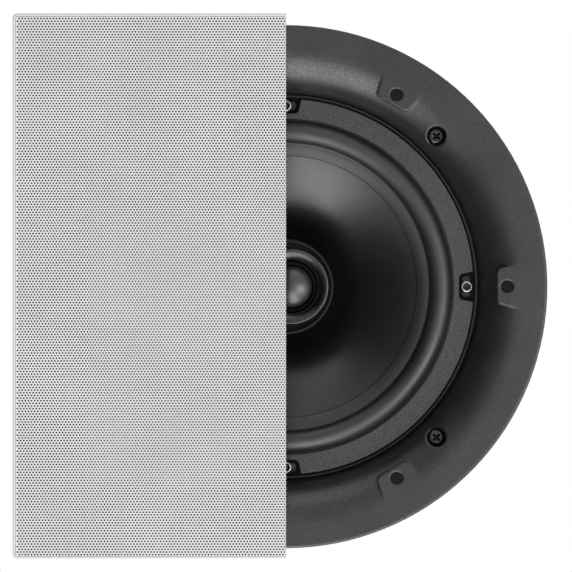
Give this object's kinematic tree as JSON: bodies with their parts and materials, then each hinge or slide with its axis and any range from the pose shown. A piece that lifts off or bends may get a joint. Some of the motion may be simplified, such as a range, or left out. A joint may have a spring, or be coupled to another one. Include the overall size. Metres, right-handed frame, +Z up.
{
  "type": "ceiling speaker",
  "caption": "Round in-ceiling loudspeaker with a flared bezel, coaxial driver, swing-out clamps, push terminals and a square magnetic grille shown cut away.",
  "frame": {"origin": "on the speaker's axis, in the plane of the ceiling's face, where the back of the flange meets it", "axes": "+Z up along the axis into the ceiling void, so the front looks down along -Z; +X away from the half grille; the grille's sides are parallel to X and Y"},
  "size_m": [0.2452, 0.2504, 0.109],
  "materials": {
    "grille_coat": "matt white powder coat on perforated steel",
    "scrim_cloth": "thin grey acoustic cloth",
    "bezel_plastic": "black moulded plastic with a fine spark texture",
    "pad_magnet": "dark sintered disc",
    "clamp_steel": "black-coated steel screw",
    "dog_plastic": "black glass-filled nylon",
    "basket_coat": "black coat on pressed steel",
    "trim_board": "dark grey trim ring, satin",
    "bright_screw": "zinc-plated screw",
    "surround_rubber": "soft black rubber",
    "cone_poly": "smooth black polypropylene",
    "former_foil": "thin foil tube",
    "coil_copper": "enamelled copper wire",
    "spider_cloth": "resin-stiffened woven cloth",
    "motor_steel": "zinc-plated turned steel",
    "ferrite": "dark ground ferrite",
    "post_metal": "turned aluminium",
    "cup_plastic": "black moulded plastic, satin",
    "dome_cloth": "coated black silk",
    "small_magnet": "nickel-plated disc",
    "tray_plastic": "black moulded plastic",
    "board_laminate": "green circuit board",
    "capacitor_film": "wrapped film, yellow",
    "bobbin_plastic": "natural nylon",
    "resistor_cement": "white cement",
    "terminal_plastic": "black moulded plastic",
    "button_red": "red moulded plastic",
    "button_black": "black moulded plastic",
    "spring_steel": "bent spring strip"
  },
  "bodies": {
    "root": {"front_grille": "grille_coat", "grille_scrim": "scrim_cloth", "grille_magnets": "pad_magnet", "bezel_frame": "bezel_plastic", "driver_basket": "basket_coat", "trim_ring": "trim_board", "driver_screws": "bright_screw", "cone_surround": "surround_rubber", "spider": "spider_cloth", "front_plate": "motor_steel", "ferrite_ring": "ferrite", "back_yoke": "motor_steel", "tweeter_post": "post_metal", "post_nut": "bright_screw", "tweeter_cup": "cup_plastic", "tweeter_waveguide": "cup_plastic", "tweeter_diaphragm": "dome_cloth", "tweeter_coil": "coil_copper", "tweeter_plate": "motor_steel", "tweeter_magnet": "small_magnet", "tweeter_yoke": "motor_steel", "crossover_tray": "tray_plastic", "crossover_board": "board_laminate", "board_screws": "bright_screw", "film_capacitor": "capacitor_film", "inductor_bobbin": "bobbin_plastic", "inductor_winding": "coil_copper", "crossover_resistor": "resistor_cement", "terminal_block": "terminal_plastic", "terminal_spring_positive": "spring_steel", "terminal_spring_negative": "spring_steel"},
    "cone": {"cone": "cone_poly", "coil_former": "former_foil", "coil_winding": "coil_copper"},
    "button_positive": {"terminal_button_positive": "button_red"},
    "button_negative": {"terminal_button_negative": "button_black"},
    "clamp_screw_1": {"clamp_screw_1": "clamp_steel"},
    "clamp_dog_1": {"clamp_dog_1": "dog_plastic"},
    "clamp_screw_2": {"clamp_screw_2": "clamp_steel"},
    "clamp_dog_2": {"clamp_dog_2": "dog_plastic"},
    "clamp_screw_3": {"clamp_screw_3": "clamp_steel"},
    "clamp_dog_3": {"clamp_dog_3": "dog_plastic"},
    "clamp_screw_4": {"clamp_screw_4": "clamp_steel"},
    "clamp_dog_4": {"clamp_dog_4": "dog_plastic"}
  },
  "joints": [
    {"name": "cone_travel", "type": "slide", "parent": "root", "child": "cone", "axis": [0, 0, 1], "range_m": [-0.004, 0.004], "stiffness_N_per_m": 1250, "deforming": ["cone_surround", "spider"]},
    {"name": "clamp_1_swing", "type": "hinge", "parent": "root", "child": "clamp_screw_1", "pos_m": [0.06923, 0.06923, 0], "axis": [0, 0, 1], "range_deg": [0, 95]},
    {"name": "clamp_1_draw", "type": "slide", "parent": "clamp_screw_1", "child": "clamp_dog_1", "axis": [0, 0, -1], "range_m": [0, 0.024]},
    {"name": "clamp_2_swing", "type": "hinge", "parent": "root", "child": "clamp_screw_2", "pos_m": [-0.06923, 0.06923, 0], "axis": [0, 0, 1], "range_deg": [0, 95]},
    {"name": "clamp_2_draw", "type": "slide", "parent": "clamp_screw_2", "child": "clamp_dog_2", "axis": [0, 0, -1], "range_m": [0, 0.024]},
    {"name": "clamp_3_swing", "type": "hinge", "parent": "root", "child": "clamp_screw_3", "pos_m": [-0.06923, -0.06923, 0], "axis": [0, 0, 1], "range_deg": [0, 95]},
    {"name": "clamp_3_draw", "type": "slide", "parent": "clamp_screw_3", "child": "clamp_dog_3", "axis": [0, 0, -1], "range_m": [0, 0.024]},
    {"name": "clamp_4_swing", "type": "hinge", "parent": "root", "child": "clamp_screw_4", "pos_m": [0.06923, -0.06923, 0], "axis": [0, 0, 1], "range_deg": [0, 95]},
    {"name": "clamp_4_draw", "type": "slide", "parent": "clamp_screw_4", "child": "clamp_dog_4", "axis": [0, 0, -1], "range_m": [0, 0.024]},
    {"name": "terminal_positive_press", "type": "slide", "parent": "root", "child": "button_positive", "axis": [0, 0, -1], "range_m": [0, 0.0025], "stiffness_N_per_m": 400, "springref_m": -0.001, "deforming": ["terminal_spring_positive"]},
    {"name": "terminal_negative_press", "type": "slide", "parent": "root", "child": "button_negative", "axis": [0, 0, -1], "range_m": [0, 0.0025], "stiffness_N_per_m": 400, "springref_m": -0.001, "deforming": ["terminal_spring_negative"]}
  ]
}
